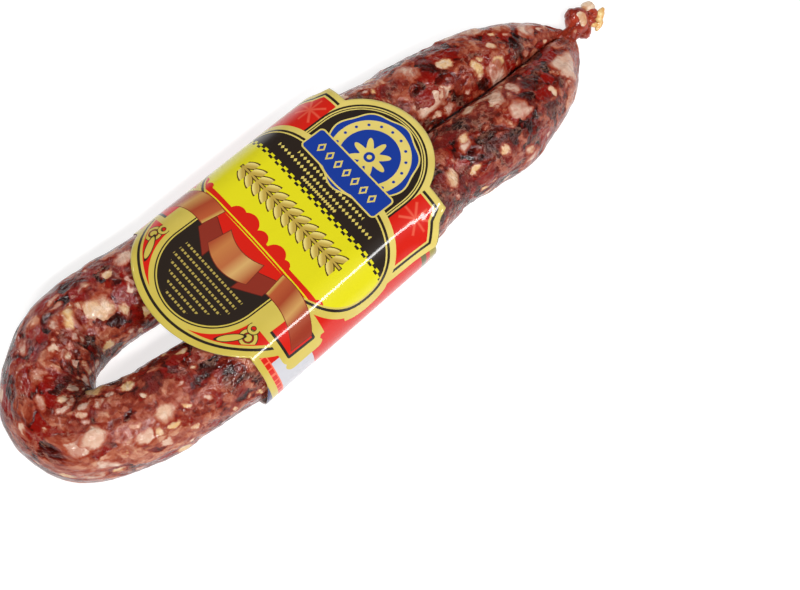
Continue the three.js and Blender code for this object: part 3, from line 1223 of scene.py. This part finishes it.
def emblem_print(color, s, t, gold):
    """The blue emblem: a flower in a ring of dots, over a plaque with a row of lozenges."""
    x, y = s - 0.4, t - 17.0
    ring_radius = 12.65
    away = length_of(x, y)
    angle = x.math("ARCTAN2", y, x)
    petals = (angle * 8.0).cosine()
    backing = petals * 0.45 + 16.4 - away
    ring = 1.85 - abs(away - ring_radius)
    dots = 0.55 - length_of(away - ring_radius, repeated(angle, math.pi / 9) * ring_radius)
    plaque = rounded_depth(s, t - 7.4, 18.6, 4.6, 1.2).most(ellipse_depth(s, t - 3.6, 8.0, 1.9))
    lozenge = 1.9 - abs(repeated(s, 4.4)) * 1.25 - abs(t - 7.2) * 0.85
    row = 15.6 - abs(s)
    return layered(color, [
        (backing + 0.6, gold),
        (backing, BLUE),
        (ring, gold),
        (dots.least(ring), BLUE),
        (petals * 1.9 + 5.6 - away, gold),
        (2.0 - away, BLUE),
        (0.9 - away, gold),
        (plaque + 0.6, gold),
        (plaque, BLUE),
        (lozenge.least(row), gold),
        ((lozenge - 0.9).least(row), BLUE),
    ])


def label_material():
    material, graph, shader = new_material("printed_paper")
    sheet = own(graph, "sheet", "Vector")
    s, t, layer = parts_of(sheet)
    # Painted sheen on the metallic gold ink: lighter towards the crest end of the band, and darker in soft
    # patches.
    painted_sheen = grain(sheet, 14.0).step(0.3, 0.7)
    gold = mix(t.step(-60.0, 35.0), paint(204, 184, 84), paint(226, 206, 116))
    gold = mix(painted_sheen * 0.35, gold, paint(190, 170, 60))
    color = strap_print(s, t, gold)
    color = crest_print(color, s, t, gold)
    color = apron_print(color, s, t, gold)
    tab = rounded_depth(abs(s) - 30.0, t + 43.5, 11.9, 8.1, 3.0)
    color = framed(color, tab, [(2.2, gold), (1.0, DARK)], RED)
    color = panel_print(color, s, t, gold)
    color = oval_print(color, s, t, gold)
    color = ribbon_print(color, s, t)
    color = emblem_print(color, s, t, gold)
    color = mix(layer.step(0.2, 0.8), color, PLAIN_BACK)
    feed(shader, "Base Color", color)
    wave = grain(stretched(sheet, (1.0, 0.35, 0.0)), 9.0)
    feed_bump(shader, wave, 0.5, 0.0006)
    gloss = {"Roughness": 0.42, "Specular IOR Level": 0.1, "Coat Weight": 0.8, "Coat Roughness": 0.09}
    set_inputs(shader, gloss)
    return material


make_label()

# ---- The knotted end ----

KNOT_AT = np.array([120.4, 1.3, 9.0])
KNOT_AXES = np.array([VIEW_RIGHT, VIEW_UP, TOWARDS_CAMERA])
# Offset from the knot's middle and half sizes, both as right, up and out, then turn, paleness, creaminess.
LUMPS = [
    ((0.2, 0.1, 0.0), (4.8, 5.4, 4.6), 0, 0, 0),
    ((-1.7, 2.1, -0.2), (3.0, 3.3, 3.6), 20, 0, 0),
    ((2.6, -4.1, -0.8), (2.3, 1.9, 2.6), 0, 0, 0),
    ((3.9, -2.0, -1.0), (1.5, 2.6, 2.4), 15, 0, 0),
    ((-1.3, -3.7, -0.6), (2.9, 2.7, 2.9), 0, 0, 0),
    ((1.2, 0.8, 3.4), (2.3, 3.4, 1.35), 20, 1, 0),
    ((4.2, 5.9, -1.7), (2.8, 2.3, 2.3), -15, 1, 0),
    ((5.6, 3.3, -1.1), (2.3, 2.3, 2.2), 0, 0, 0),
    ((4.6, 0.9, -1.3), (2.5, 2.4, 2.2), 0, 0, 0),
    ((8.6, 2.8, -1.3), (1.6, 2.9, 1.5), -18, 0, 1),
    ((9.5, 4.9, -1.5), (0.9, 1.2, 0.9), -30, 0, 1),
    ((6.2, -0.6, -1.2), (2.9, 0.95, 1.4), -6, 0.4, 1),
    ((8.3, -0.8, -1.4), (1.1, 2.5, 1.2), -33, 0.4, 1),
]
LUMP_DIVISIONS = 5
LUMP_SEED_STEP = 3.7
CORE_ROUGH = 0.07
LUMP_ROUGH = 0.12
# Which lump is the bit of fat that shows through the knot, and where it fades into the red round it.
WINDOW = 5
WINDOW_RIM = 0.42
WINDOW_FADE = 0.35


def turned_axes(degrees):
    """The directions right, up and out, turned about the last."""
    angle = math.radians(degrees)
    cos, sin = math.cos(angle), math.sin(angle)
    return np.array([[cos, sin, 0], [-sin, cos, 0], [0, 0, 1]]) @ KNOT_AXES


def blob(centre, halves, axes, seed, rough):
    """A lumpy ellipsoid. axes are its three directions and halves its half sizes along them.

    It comes with how far each point faces out, from -1 to 1."""
    shape = bmesh.new()
    bmesh.ops.create_icosphere(shape, subdivisions=LUMP_DIVISIONS, radius=1.0)
    base = np.array([v.co[:] for v in shape.verts])
    faces = [tuple(v.index for v in f.verts) for f in shape.faces]
    shape.free()
    facing = base[:, 2].copy()
    lump = np.array([noise.fractal(Vector(p * 1.3 + seed), 1.0, 2.0, 3) for p in base])
    base = base * (1 + rough * lump)[:, None]
    points = centre + (base * np.array(halves)) @ axes
    return points, faces, facing


def knot_material():
    material, graph, shader = new_material("knotted_casing")
    place = own(graph, "place", "Vector")
    pale = own(graph, "pale")
    cream = own(graph, "cream")
    loose = warped(place, 3.0, 1.2)
    red = mix(grain(loose, 3.2, 3.0, 0.55).step(0.35, 0.68), paint(118, 24, 13), paint(176, 62, 40))
    red = mix(grain(loose, 2.0).step(0.6, 0.75) * 0.6, red, paint(200, 124, 98))
    fat = mix(grain(loose, 3.0).step(0.35, 0.7), paint(206, 152, 112), paint(232, 210, 184))
    yellow = mix(grain(loose, 2.2).step(0.3, 0.7), paint(214, 142, 62), paint(240, 222, 158))
    color = mix(pale.step(0.35, 0.65), red, fat)
    color = mix(cream.step(0.35, 0.65), color, yellow)
    feed(shader, "Base Color", color)
    feed_bump(shader, grain(loose, 1.8), 0.7, 0.0004)
    set_inputs(shader, {"Roughness": 0.2})
    return material


def make_knot():
    all_points, all_faces, pale, cream = [], [], [], []
    count = 0
    for index, (offset, halves, turn, is_pale, is_cream) in enumerate(LUMPS):
        centre = KNOT_AT + np.array(offset) @ KNOT_AXES
        rough = LUMP_ROUGH if index else CORE_ROUGH
        points, faces, facing = blob(centre, halves, turned_axes(turn), index * LUMP_SEED_STEP, rough)
        shown = smooth_step((facing - WINDOW_RIM) / WINDOW_FADE) if index == WINDOW else facing * 0 + 1
        all_points.append(points)
        all_faces += [tuple(corner + count for corner in face) for face in faces]
        pale += list(is_pale * shown)
        cream += [is_cream] * len(points)
        count += len(points)
    points = np.vstack(all_points)
    mesh = new_mesh("knot", points, all_faces, {"place": points}, {"pale": pale, "cream": cream})
    knot = new_piece("knot", mesh, knot_material())
    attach(knot, "root")
    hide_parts("casing_knot")


make_knot()
